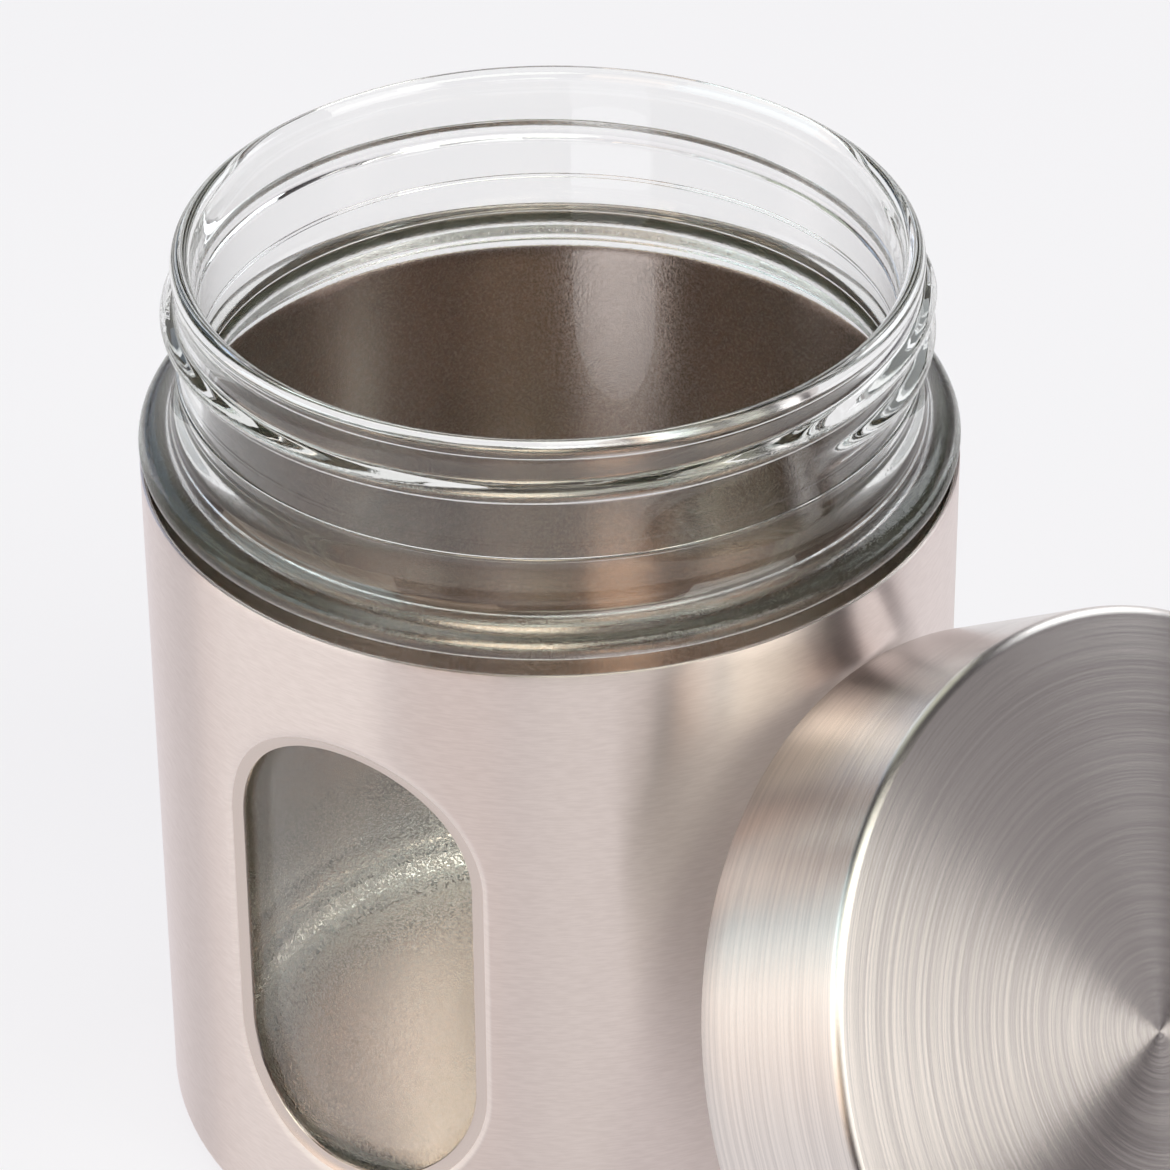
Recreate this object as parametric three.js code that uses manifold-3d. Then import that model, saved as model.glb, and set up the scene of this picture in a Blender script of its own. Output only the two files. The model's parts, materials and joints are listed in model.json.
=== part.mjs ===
// Storage canister: a screw-neck glass jar standing in a windowed steel sleeve.
// Its screw lid is taken off and leans on the sleeve, with its rim on the table.
// Millimetres, +Z up. The origin is the centre of the sleeve's flat underside,
// and +X points from the canister's axis to the leaning lid.
import * as THREE from 'three';
import { mergeVertices } from 'three/addons/utils/BufferGeometryUtils.js';
import Module from 'manifold-3d';

const wasm = await Module();
wasm.setup();

// Steel sleeve, a drawn cup
const SLEEVE_RADIUS = 54;
const SLEEVE_HEIGHT = 102.5;
const SLEEVE_WALL = 0.6;
const SLEEVE_CORNER = 3;

// Window in the sleeve: a straight-sided slot with round ends and a pressed-in border
const WINDOW_WIDTH = 36;
const WINDOW_HEIGHT = 68;
const WINDOW_ANGLE = -77.4;
const BORDER_WIDTH = 2.8;
const BORDER_DEPTH = 0.9;

// Cushion ring under the jar's foot
const CUSHION_THICKNESS = 1.5;
const CUSHION_WIDTH = 9;
const CUSHION_EDGE = 0.5;

// Glass jar, which clears the window's border inside the sleeve
const JAR_CLEARANCE = 0.5;
const JAR_WALL = 3.2;
const JAR_FLOOR = 5.5;
const HEEL_OUTSIDE = 6;
const HEEL_INSIDE = 8;
const FOOT_LAND = 2.4;
const FOOT_SLOPE = 4.6;
const PUSH_UP = 1.2;

// Shoulder of the jar, above the sleeve's top edge
const SHOULDER_WIDTH = 5.6;
const SHOULDER_GAP = 1.9;
const SHOULDER_BEAD = 1.5;
const BEAD_SWEEP = 70;
const SHOULDER_RISE = 8.2;

// Neck of the jar
const RIM_ABOVE_SLEEVE = 30.5;
const NECK_WALL = 2.8;
const LIP_ROUND = 1.3;
const LIP_PROUD = 0.35;
const LIP_TAPER = 3.9;
const PARTING_BEAD = 0.5;

// Screw thread, shared by the neck and the lid
const THREAD_LEAD = 6;
const THREAD_HEIGHT = 1.9;
const THREAD_WIDTH = 3.4;
const THREAD_TURNS = 1.2;
const THREAD_START_ANGLE = -6.7;
const THREAD_START_DROP = 12.2;
const THREAD_FADE = 28;
const THREAD_CLEARANCE = 0.4;
const FLANK_RISE = 0.7;
const FLANK_REACH = 0.3;

// Lid: steel shell, plastic inner cap and seal ring
const LID_DEPTH = 25.25;
const LID_CORNER = 1.3;
const SHELL_WALL = 0.6;
const CAP_WALL = 2.4;
const CAP_DISC = 1.2;
const CAP_RECESS = 1.2;
const CAP_CORNER = 1;
const CAP_THREAD_WIDTH = 2.2;
const CAP_THREAD_TURNS = 1;
const CAP_THREAD_RISE = 5;
const SEAL_THICKNESS = 1.5;
const SEAL_OVERLAP = 1.3;
const SEAL_RIB = 1.2;
const FIT_GAP = 0.3;

// How the lid leans
const LID_LEAN = 31.34;
const LEAN_CLEARANCE = 0.3;

// Sides of a full turn, and steps along a round corner, the lip, the window's ends and its border
const SIDES = 56;
const ARC_STEPS = 4;
const LIP_STEPS = 8;
const WINDOW_STEPS = 12;
const BORDER_STEPS = 3;

// How deep a thread's root is sunk in its wall
const THREAD_ROOT = 0.6;

// Sizes that follow from the driving ones
const jarRadius = SLEEVE_RADIUS - SLEEVE_WALL - BORDER_DEPTH - JAR_CLEARANCE;
const jarBase = SLEEVE_WALL + CUSHION_THICKNESS;
const jarRim = SLEEVE_HEIGHT + RIM_ABOVE_SLEEVE;
const neckRadius = SLEEVE_RADIUS - SHOULDER_WIDTH;
const neckBore = neckRadius - NECK_WALL;
const capBore = neckRadius + THREAD_HEIGHT + THREAD_CLEARANCE;
const capRadius = capBore + CAP_WALL;
const lidRadius = capRadius + FIT_GAP + SHELL_WALL;
const capTop = LID_DEPTH - SHELL_WALL - FIT_GAP;
const discUnderside = capTop - CAP_DISC;

const steel = { color: 0xcdbfba, roughness: 0.32, metalness: 1 };
const MATERIALS = {
  glass: { color: 0xdfe6e0, roughness: 0.03, metalness: 0 },
  sleeveSteel: steel,
  lidSteel: steel,
  cap: { color: 0xe9e7e2, roughness: 0.45, metalness: 0 },
  seal: { color: 0xf1efe9, roughness: 0.6, metalness: 0 },
  cushion: { color: 0xf1efe9, roughness: 0.8, metalness: 0 },
};

const radians = THREE.MathUtils.degToRad;

/** Points of an elliptical arc about [r, z], from one angle to another in degrees. */
function arc([r, z], [width, height], from, to, steps = ARC_STEPS) {
  return Array.from({ length: steps + 1 }, (_, i) => {
    const angle = radians(from + ((to - from) * i) / steps);
    return [r + width * Math.cos(angle), z + height * Math.sin(angle)];
  });
}

/** A solid of revolution about +Z from [radius, height] points listed upwards along its outside. */
function turned(profile) {
  const points = profile.map(([radius, height]) => new THREE.Vector2(radius, height));
  return new THREE.LatheGeometry(points, SIDES).rotateX(Math.PI / 2);
}

/** A closed tube of sections: rings of points of equal count, capped at both ends or joined up. */
function lofted(rings, closed) {
  const count = rings[0].length;
  const positions = rings.flat().flatMap((point) => point.toArray());
  const triangles = [];
  const links = closed ? rings.length : rings.length - 1;
  for (let ring = 0; ring < links; ring += 1) {
    const here = ring * count;
    const next = ((ring + 1) % rings.length) * count;
    for (let i = 0; i < count; i += 1) {
      const j = (i + 1) % count;
      triangles.push(here + i, next + i, next + j, here + i, next + j, here + j);
    }
  }
  if (!closed) {
    const last = (rings.length - 1) * count;
    for (let i = 1; i < count - 1; i += 1) {
      triangles.push(0, i, i + 1, last, last + i + 1, last + i);
    }
  }
  const geometry = new THREE.BufferGeometry();
  geometry.setAttribute('position', new THREE.Float32BufferAttribute(positions, 3));
  geometry.setIndex(triangles);
  return geometry;
}

/** The closed mesh of a geometry as a solid for cutting and joining. */
function solid(geometry) {
  const bare = geometry.clone();
  bare.deleteAttribute('normal');
  bare.deleteAttribute('uv');
  const merged = mergeVertices(bare);
  const index = merged.index.array;
  const triVerts = [];
  for (let i = 0; i < index.length; i += 3) {
    const [a, b, c] = index.slice(i, i + 3);
    if (a !== b && b !== c && c !== a) triVerts.push(a, b, c);
  }
  return new wasm.Manifold(new wasm.Mesh({
    numProp: 3,
    vertProperties: new Float32Array(merged.attributes.position.array),
    triVerts: new Uint32Array(triVerts),
  }));
}

/** The geometry of a solid. */
function surface(body) {
  const { vertProperties, triVerts } = body.getMesh();
  const geometry = new THREE.BufferGeometry();
  geometry.setAttribute('position', new THREE.BufferAttribute(vertProperties, 3));
  geometry.setIndex(new THREE.BufferAttribute(triVerts, 1));
  geometry.computeVertexNormals();
  return geometry;
}

/** A named mesh of one piece. */
function piece(name, geometry, finish) {
  const mesh = new THREE.Mesh(geometry, new THREE.MeshStandardMaterial(finish));
  mesh.name = name;
  return mesh;
}

/**
 * A helical ridge that fades in and out, right-handed, standing on a wall of the given radius.
 * side is 1 for a ridge on the outside of the wall and -1 for one inside it.
 */
function threadRidge({ wall, side, height, width, turns, startAngle, startHeight }) {
  const steps = Math.round(turns * SIDES);
  const rings = [];
  for (let step = 0; step <= steps; step += 1) {
    const turn = (turns * step) / steps;
    const fromEnd = Math.min(turn, turns - turn) * 360;
    const swell = THREE.MathUtils.smoothstep(fromEnd, 0, THREAD_FADE);
    const crest = THREE.MathUtils.lerp(-THREAD_ROOT / 2, height, swell);
    const section = [
      [-THREAD_ROOT, -width / 2],
      [crest * FLANK_RISE, -width * FLANK_REACH],
      [crest, 0],
      [crest * FLANK_RISE, width * FLANK_REACH],
      [-THREAD_ROOT, width / 2],
    ];
    const angle = radians(startAngle) + turn * Math.PI * 2;
    const ring = section.map(([out, up]) => new THREE.Vector3(
      (wall + side * out) * Math.cos(angle),
      (wall + side * out) * Math.sin(angle),
      startHeight + turn * THREAD_LEAD + up,
    ));
    rings.push(side > 0 ? ring : ring.reverse());
  }
  return lofted(rings, false);
}

/** The window's outline widened by an offset: [arc length, height] points about the window's centre. */
function windowOutline(offset) {
  const radius = WINDOW_WIDTH / 2 + offset;
  const straight = (WINDOW_HEIGHT - WINDOW_WIDTH) / 2;
  return [
    ...arc([0, straight], [radius, radius], 0, 180, WINDOW_STEPS),
    ...arc([0, -straight], [radius, radius], 180, 360, WINDOW_STEPS),
  ];
}

/** One face of the window's border: [offset, depth] points from inside the wall to the opening's edge. */
function borderFace(from, to) {
  const points = [[BORDER_WIDTH + SLEEVE_WALL, from]];
  for (let step = 0; step <= BORDER_STEPS; step += 1) {
    const inward = step / BORDER_STEPS;
    const ease = THREE.MathUtils.smoothstep(inward, 0, 1);
    points.push([BORDER_WIDTH * (1 - inward), THREE.MathUtils.lerp(from, to, ease)]);
  }
  return points;
}

/** A point on the sleeve's wall, from its place in the window's outline and its depth under the surface. */
function onSleeve([along, up], depth) {
  const angle = radians(WINDOW_ANGLE) + along / SLEEVE_RADIUS;
  const radius = SLEEVE_RADIUS - depth;
  return new THREE.Vector3(
    radius * Math.cos(angle),
    radius * Math.sin(angle),
    SLEEVE_HEIGHT / 2 + up,
  );
}

/** Steel sleeve: a cup with a round-ended window whose border is pressed inwards. */
function steelSleeve() {
  const inside = SLEEVE_RADIUS - SLEEVE_WALL;
  const corner = [SLEEVE_RADIUS - SLEEVE_CORNER, SLEEVE_CORNER];
  const cornerInside = SLEEVE_CORNER - SLEEVE_WALL;
  const cup = turned([
    [0, 0],
    ...arc(corner, [SLEEVE_CORNER, SLEEVE_CORNER], -90, 0),
    [SLEEVE_RADIUS, SLEEVE_HEIGHT],
    [inside, SLEEVE_HEIGHT],
    ...arc(corner, [cornerInside, cornerInside], 0, -90),
    [0, SLEEVE_WALL],
  ]);

  // Far enough in and out for the flat ends of the cut to clear the curved wall
  const reach = WINDOW_WIDTH / 4;
  const hole = windowOutline(BORDER_WIDTH);
  const opening = lofted([
    hole.map((point) => onSleeve(point, -reach)),
    hole.map((point) => onSleeve(point, reach)),
  ], false);

  // The border starts as a tongue inside the wall, so that the two join without flush faces
  const tongue = SLEEVE_WALL / 4;
  const section = [
    ...borderFace(tongue, BORDER_DEPTH),
    ...borderFace(SLEEVE_WALL - tongue, BORDER_DEPTH + SLEEVE_WALL).reverse(),
  ];
  const outlines = section.map(([offset]) => windowOutline(offset));
  const rings = outlines[0].map((_, i) => section.map(
    ([, depth], k) => onSleeve(outlines[k][i], depth),
  ));
  const border = lofted(rings, true);
  return surface(solid(cup).subtract(solid(opening)).add(solid(border)));
}

/** Cushion ring between the jar's foot and the sleeve's bottom. */
function baseCushion() {
  const radius = SLEEVE_RADIUS - SLEEVE_CORNER - CUSHION_EDGE;
  const hole = radius - CUSHION_WIDTH;
  return turned([
    [hole, SLEEVE_WALL],
    [radius - CUSHION_EDGE, SLEEVE_WALL],
    [radius, SLEEVE_WALL + CUSHION_EDGE],
    [radius, jarBase - CUSHION_EDGE],
    [radius - CUSHION_EDGE, jarBase],
    [hole, jarBase],
    [hole, SLEEVE_WALL],
  ]);
}

/** Glass jar: heel and body inside the sleeve, a beaded shoulder over it, and a screw neck. */
function glassJar() {
  const bore = jarRadius - JAR_WALL;
  const beadCentre = [SLEEVE_RADIUS - SHOULDER_BEAD, SLEEVE_HEIGHT + SHOULDER_GAP + SHOULDER_BEAD];
  const bead = arc(beadCentre, [SHOULDER_BEAD, SHOULDER_BEAD], -90, BEAD_SWEEP);
  const beadTop = bead.at(-1);
  const coveCentre = [beadTop[0], beadTop[1] + SHOULDER_RISE];
  const coveSize = [beadTop[0] - neckRadius, SHOULDER_RISE];
  const parting = coveCentre[1] + PARTING_BEAD;
  const lipCentre = [neckRadius + LIP_PROUD - LIP_ROUND, jarRim - LIP_ROUND];
  const lipStart = -THREE.MathUtils.radToDeg(Math.acos((LIP_ROUND - LIP_PROUD) / LIP_ROUND));
  const innerTop = coveCentre[1] - SHOULDER_RISE / 2;
  const innerDrop = innerTop - SLEEVE_HEIGHT;
  const innerMiddle = SLEEVE_HEIGHT + innerDrop / 2;
  const halfStep = (bore - neckBore) / 2;
  const floor = jarBase + JAR_FLOOR;

  const body = turned([
    [0, jarBase + PUSH_UP],
    [jarRadius - HEEL_OUTSIDE - FOOT_LAND - FOOT_SLOPE, jarBase + PUSH_UP],
    [jarRadius - HEEL_OUTSIDE - FOOT_LAND, jarBase],
    ...arc([jarRadius - HEEL_OUTSIDE, jarBase + HEEL_OUTSIDE], [HEEL_OUTSIDE, HEEL_OUTSIDE], -90, 0),
    [jarRadius, SLEEVE_HEIGHT + SHOULDER_GAP],
    ...bead,
    ...arc(coveCentre, coveSize, 270, 180).slice(1),
    [neckRadius + PARTING_BEAD, parting],
    [neckRadius, parting + PARTING_BEAD],
    ...arc(lipCentre, [LIP_ROUND, LIP_ROUND], lipStart, 180, LIP_STEPS),
    [neckBore, jarRim - LIP_TAPER],
    [neckBore, innerTop],
    ...arc([neckBore + halfStep, innerTop], [halfStep, innerDrop / 2], 180, 270).slice(1),
    ...arc([bore - halfStep, innerMiddle - innerDrop / 2], [halfStep, innerDrop / 2], 90, 0).slice(1),
    ...arc([bore - HEEL_INSIDE, floor + HEEL_INSIDE], [HEEL_INSIDE, HEEL_INSIDE], 0, -90),
    [0, floor],
  ]);
  const ridge = threadRidge({
    wall: neckRadius,
    side: 1,
    height: THREAD_HEIGHT,
    width: THREAD_WIDTH,
    turns: THREAD_TURNS,
    startAngle: THREAD_START_ANGLE,
    startHeight: jarRim - THREAD_START_DROP,
  });
  return surface(solid(body).add(solid(ridge)));
}

/** Lid shell: a shallow drawn steel cup, its rim at height 0 and its flat top at the lid's depth. */
function lidShell() {
  const inside = lidRadius - SHELL_WALL;
  const corner = [lidRadius - LID_CORNER, LID_DEPTH - LID_CORNER];
  const cornerInside = LID_CORNER - SHELL_WALL;
  return turned([
    [0, LID_DEPTH - SHELL_WALL],
    ...arc(corner, [cornerInside, cornerInside], 90, 0),
    [inside, 0],
    [lidRadius, 0],
    ...arc(corner, [LID_CORNER, LID_CORNER], 0, 90),
    [0, LID_DEPTH],
  ]);
}

/** Inner cap: a threaded plastic skirt and a disc with a rib that keeps the seal in its channel. */
function lidInnerCap() {
  const ribOutside = sealInside() - FIT_GAP;
  const ribInside = ribOutside - SEAL_RIB;
  const ribBottom = discUnderside - SEAL_THICKNESS;
  const cap = turned([
    [0, discUnderside],
    [ribInside, discUnderside],
    [ribInside, ribBottom],
    [ribOutside, ribBottom],
    [ribOutside, discUnderside],
    [capBore, discUnderside],
    [capBore, CAP_RECESS],
    [capRadius, CAP_RECESS],
    ...arc([capRadius - CAP_CORNER, capTop - CAP_CORNER], [CAP_CORNER, CAP_CORNER], 0, 90),
    [0, capTop],
  ]);
  const ridge = threadRidge({
    wall: capBore,
    side: -1,
    height: THREAD_HEIGHT - THREAD_CLEARANCE,
    width: CAP_THREAD_WIDTH,
    turns: CAP_THREAD_TURNS,
    startAngle: THREAD_START_ANGLE,
    startHeight: CAP_RECESS + CAP_THREAD_RISE,
  });
  return surface(solid(cap).add(solid(ridge)));
}

/** Inner radius of the seal ring, which reaches inside the jar's lip. */
function sealInside() {
  return neckBore - SEAL_OVERLAP;
}

/** Seal: a flat ring in the inner cap's channel, against which the jar's lip closes. */
function lidSeal() {
  const inside = sealInside();
  const outside = capBore - FIT_GAP;
  const top = discUnderside - FIT_GAP;
  const bottom = top - SEAL_THICKNESS;
  return turned([
    [inside, bottom],
    [outside, bottom],
    [outside, top],
    [inside, top],
    [inside, bottom],
  ]);
}

const canister = new THREE.Group();
canister.add(
  piece('steel_sleeve', steelSleeve(), MATERIALS.sleeveSteel),
  piece('base_cushion', baseCushion(), MATERIALS.cushion),
  piece('glass_jar', glassJar(), MATERIALS.glass),
);

// The lid's own +Z leaves its top face. Its rim stands on the table and leans on the sleeve.
const lid = new THREE.Group();
const lean = radians(LID_LEAN);
lid.rotation.y = Math.PI / 2 - lean;
lid.position.set(
  SLEEVE_RADIUS + LEAN_CLEARANCE + lidRadius * Math.sin(lean),
  0,
  lidRadius * Math.cos(lean),
);
lid.add(
  piece('lid_shell', lidShell(), MATERIALS.lidSteel),
  piece('lid_inner_cap', lidInnerCap(), MATERIALS.cap),
  piece('lid_seal', lidSeal(), MATERIALS.seal),
);
canister.add(lid);

export default canister;
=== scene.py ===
"""Storage canister: a screw-neck glass jar in a windowed steel sleeve, with its lid leaning on the sleeve.

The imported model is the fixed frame. Every piece is modelled again, finely, at its place in that frame,
and rides on the body of the solid that it stands for. Lengths are in metres and angles in degrees. The
camera's lens and sensor are in millimetres, as a camera gives them.
"""

import json
import logging
import math
from contextlib import contextmanager
from dataclasses import dataclass
from enum import Enum
from itertools import pairwise
from typing import Any, Callable, Iterator, Sequence, Union

import bmesh
import bpy
from mathutils import Matrix, Vector


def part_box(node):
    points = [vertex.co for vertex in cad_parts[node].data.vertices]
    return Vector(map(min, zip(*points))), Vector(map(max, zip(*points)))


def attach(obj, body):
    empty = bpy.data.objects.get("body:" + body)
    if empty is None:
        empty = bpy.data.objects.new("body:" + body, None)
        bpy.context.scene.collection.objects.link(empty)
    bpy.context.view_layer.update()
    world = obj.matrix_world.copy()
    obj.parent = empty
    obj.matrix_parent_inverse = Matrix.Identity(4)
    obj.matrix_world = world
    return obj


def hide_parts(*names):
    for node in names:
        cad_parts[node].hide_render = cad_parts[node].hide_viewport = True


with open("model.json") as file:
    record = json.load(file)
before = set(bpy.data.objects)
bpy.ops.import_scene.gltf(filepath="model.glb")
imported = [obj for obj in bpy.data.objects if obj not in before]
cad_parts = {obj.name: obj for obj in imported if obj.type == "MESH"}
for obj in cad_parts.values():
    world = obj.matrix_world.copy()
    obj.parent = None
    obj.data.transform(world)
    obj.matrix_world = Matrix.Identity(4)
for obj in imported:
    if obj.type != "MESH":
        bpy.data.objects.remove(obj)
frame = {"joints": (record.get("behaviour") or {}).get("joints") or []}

log = logging.getLogger("canister")

MM = 0.001
QUARTER_TURN = 0.25
NOISE_MIDDLE = 0.5

Point = tuple[float, float]
Colour = tuple[float, float, float]


def arc(centre: Point, radii: Point, start: float, end: float, steps: int) -> list[Point]:
    """Draw an elliptical arc in a profile.

    Args:
        centre: Radius and height of the arc's centre.
        radii: Half widths of the ellipse, outwards and upwards.
        start: First angle in degrees, 0 pointing outwards and 90 up.
        end: Last angle in degrees.
        steps: Number of straight stretches.

    Returns:
        The points, both ends included.
    """
    angles = [math.radians(start + (end - start) * step / steps) for step in range(steps + 1)]
    return [(centre[0] + radii[0] * math.cos(a), centre[1] + radii[1] * math.sin(a)) for a in angles]


def straight(start: Point, end: Point, steps: int) -> list[Point]:
    """Draw a straight stretch in a profile.

    Args:
        start: First point.
        end: Last point.
        steps: Number of equal parts.

    Returns:
        The points, both ends included.
    """
    shares = [step / steps for step in range(steps + 1)]
    return [(start[0] + (end[0] - start[0]) * s, start[1] + (end[1] - start[1]) * s) for s in shares]


def rounded_ring(reach: Point, heights: Point, edge: float, steps: int) -> list[Point]:
    """Draw the closed profile of a flat ring with rounded edges.

    Args:
        reach: Inner and outer radius.
        heights: Lowest and highest height.
        edge: Radius of the rounded edges.
        steps: Number of straight stretches in each edge.

    Returns:
        The points, the first one again at the end.
    """
    inner, outer = reach[0] + edge, reach[1] - edge
    low, high = heights[0] + edge, heights[1] - edge
    corners = [(inner, low, 180), (outer, low, 270), (outer, high, 0), (inner, high, 90)]
    ring = []
    for radius, height, start in corners:
        ring += arc((radius, height), (edge, edge), start, start + 90, steps)
    return [*ring, ring[0]]


def ease(share: float) -> float:
    """Give the smooth step of a share, held between 0 and 1."""
    held = min(max(share, 0.0), 1.0)
    return held * held * (3 - 2 * held)


class Bench:
    """One piece on the modelling bench, and the hand moves that shape it."""

    MERGE = 0.002 * MM
    SEED = 0.1 * MM

    def __init__(self, piece: bpy.types.Object) -> None:
        """Take a piece to the bench."""
        self.piece = piece

    @classmethod
    def start(cls, name: str, primitive: Callable[..., set], **settings: Any) -> "Bench":
        """Begin a piece with a primitive, while nothing else is selected.

        Args:
            name: Name of the piece.
            primitive: The operator that adds the primitive.
            settings: The operator's own settings.

        Returns:
            The bench that holds the new piece.
        """
        bpy.ops.object.select_all(action="DESELECT")
        primitive(**settings)
        piece = bpy.context.object
        piece.name = name
        piece.data.name = name
        bpy.ops.object.transform_apply(location=True, rotation=True, scale=True)
        return cls(piece)

    @classmethod
    def turned(cls, name: str, profile: Sequence[Point], sweeps: Sequence[tuple[float, int]]) -> "Bench":
        """Model a turned piece: draw its profile point by point, then spin it about +Z.

        Args:
            name: Name of the piece.
            profile: Radius and height of each point, in order.
            sweeps: Angle in degrees and steps of each stretch of the spin, which add up to a full turn.

        Returns:
            The bench that holds the closed piece.
        """
        first = (profile[0][0], 0, profile[0][1])
        bench = cls.start(name, bpy.ops.mesh.primitive_plane_add, size=cls.SEED, location=first)
        with bench.editing():
            bpy.ops.mesh.merge(type="CENTER")
            for before, after in pairwise(profile):
                bench.extrude((after[0] - before[0], 0, after[1] - before[1]))
            bpy.ops.mesh.select_all(action="SELECT")
            for angle, steps in sweeps:
                bpy.ops.mesh.spin(steps=steps, angle=math.radians(angle), center=(0, 0, 0), axis=(0, 0, 1))
            bench.close()
        return bench

    @contextmanager
    def editing(self) -> Iterator[None]:
        """Work in edit mode, with everything selected at the start.

        Yields:
            Nothing; edit mode lasts as long as the block.
        """
        bpy.ops.object.mode_set(mode="EDIT")
        bpy.ops.mesh.select_mode(type="VERT")
        bpy.ops.mesh.select_all(action="SELECT")
        yield
        bpy.ops.object.mode_set(mode="OBJECT")

    def close(self) -> None:
        """Merge doubled points and turn every face outwards."""
        bpy.ops.mesh.select_all(action="SELECT")
        bpy.ops.mesh.remove_doubles(threshold=self.MERGE)
        bpy.ops.mesh.select_all(action="SELECT")
        bpy.ops.mesh.normals_make_consistent(inside=False)

    def pick(self, test: Callable[[Vector], bool]) -> None:
        """Select the points whose place passes a test, and the edges and faces between them.

        Args:
            test: Tells from a point's place whether it is picked.
        """
        bpy.ops.mesh.select_mode(type="VERT")
        bpy.ops.mesh.select_all(action="DESELECT")
        mesh = bmesh.from_edit_mesh(self.piece.data)
        for vertex in mesh.verts:
            vertex.select = test(vertex.co)
        mesh.select_flush_mode()
        bmesh.update_edit_mesh(self.piece.data)

    def pick_long_edges(self, length: float) -> None:
        """Select the edges longer than a length.

        Args:
            length: Length in metres.
        """
        bpy.ops.mesh.select_mode(type="EDGE")
        bpy.ops.mesh.select_all(action="DESELECT")
        mesh = bmesh.from_edit_mesh(self.piece.data)
        for edge in mesh.edges:
            edge.select = edge.calc_length() > length
        bmesh.update_edit_mesh(self.piece.data)

    def extrude(self, move: Sequence[float]) -> None:
        """Extrude what is selected by a move."""
        bpy.ops.mesh.extrude_region_move(TRANSFORM_OT_translate={"value": tuple(move)})

    def move(self, step: Sequence[float]) -> None:
        """Move what is selected."""
        bpy.ops.transform.translate(value=tuple(step))

    def draw_ring(self, before: Point, after: Point) -> None:
        """Extrude a selected ring about +Z to another radius and height.

        Args:
            before: Radius and height that the ring has now.
            after: Radius and height that it gets.
        """
        self.extrude((0, 0, after[1] - before[1]))
        share = after[0] / before[0]
        bpy.ops.transform.resize(value=(share, share, 1), center_override=(0, 0, after[1]))

    def finish_with(self, kind: str, **settings: Any) -> None:
        """Add a modifier, set it and apply it.

        Args:
            kind: The modifier's type.
            settings: Its settings.
        """
        modifier = self.piece.modifiers.new(kind.title(), kind)
        for key, value in settings.items():
            setattr(modifier, key, value)
        bpy.context.view_layer.objects.active = self.piece
        bpy.ops.object.modifier_apply(modifier=modifier.name)

    def swell(self, height: float, share: Callable[[Vector], float]) -> None:
        """Raise the surface along its normals where a weight is painted.

        Args:
            height: Height of the swelling where the weight is 1.
            share: Gives the weight from a point's place.
        """
        group = self.piece.vertex_groups.new(name="Swell")
        for vertex in self.piece.data.vertices:
            weight = share(vertex.co)
            if weight > 0:
                group.add([vertex.index], weight, "REPLACE")
        self.finish_with("DISPLACE", strength=height, mid_level=0.0, vertex_group=group.name)
        self.piece.vertex_groups.clear()

    def place(self, matrix: Matrix) -> None:
        """Carry the piece to its place and keep that place in its mesh.

        Args:
            matrix: Where the piece goes, and how it is turned there.
        """
        self.piece.matrix_world = matrix
        self.select()
        bpy.ops.object.transform_apply(location=True, rotation=True, scale=True)

    def select(self) -> None:
        """Select the piece alone."""
        bpy.ops.object.select_all(action="DESELECT")
        self.piece.select_set(True)
        bpy.context.view_layer.objects.active = self.piece

    def smooth(self, angle: float) -> None:
        """Shade the piece smooth, with edges sharper than an angle in degrees kept."""
        self.select()
        bpy.ops.object.shade_smooth_by_angle(angle=math.radians(angle))

    def hand_over(self, finish: "Finish", body: str, node: str, slot: str) -> bpy.types.Object:
        """Dress the piece, let it ride on its body and stand for its solid.

        Args:
            finish: The finish that it wears.
            body: Body that it rides on.
            node: Solid that it stands for.
            slot: The record's material slot; not used.

        Returns:
            The finished piece.
        """
        self.piece.data.materials.clear()
        self.piece.data.materials.append(finish.material())
        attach(self.piece, body)
        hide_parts(node)
        log.info("%s: %d faces", self.piece.name, len(self.piece.data.polygons))
        return self.piece


class Wire:
    """A shader output. Arithmetic on it adds Math nodes."""

    def __init__(self, sheet: "Sheet", socket: bpy.types.NodeSocket) -> None:
        """Wrap an output of a node on a sheet."""
        self.sheet = sheet
        self.socket = socket

    def _math(self, operation: str, *values: "Value") -> "Wire":
        """Add a Math node on some values."""
        settings = {"operation": operation}
        return self.sheet.node("ShaderNodeMath", settings, dict(enumerate(values)))["Value"]

    def __add__(self, other: "Value") -> "Wire":
        """Add."""
        return self._math("ADD", self, other)

    def __radd__(self, other: "Value") -> "Wire":
        """Add, from the right."""
        return self._math("ADD", other, self)

    def __sub__(self, other: "Value") -> "Wire":
        """Subtract."""
        return self._math("SUBTRACT", self, other)

    def __rsub__(self, other: "Value") -> "Wire":
        """Subtract, from the right."""
        return self._math("SUBTRACT", other, self)

    def __mul__(self, other: "Value") -> "Wire":
        """Multiply."""
        return self._math("MULTIPLY", self, other)

    def __rmul__(self, other: "Value") -> "Wire":
        """Multiply, from the right."""
        return self._math("MULTIPLY", other, self)

    def largest(self, other: "Value") -> "Wire":
        """Give the larger of two values."""
        return self._math("MAXIMUM", self, other)

    def ramp(self, low: float, high: float) -> "Wire":
        """Give a smooth step.

        Args:
            low: Value at which the step leaves 0.
            high: Value at which it reaches 1.

        Returns:
            The step, between 0 and 1.
        """
        settings = {"interpolation_type": "SMOOTHSTEP"}
        sockets = {"Value": self, "From Min": low, "From Max": high}
        return self.sheet.node("ShaderNodeMapRange", settings, sockets)["Result"]


Value = Union[Wire, float, Sequence[float]]


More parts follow.
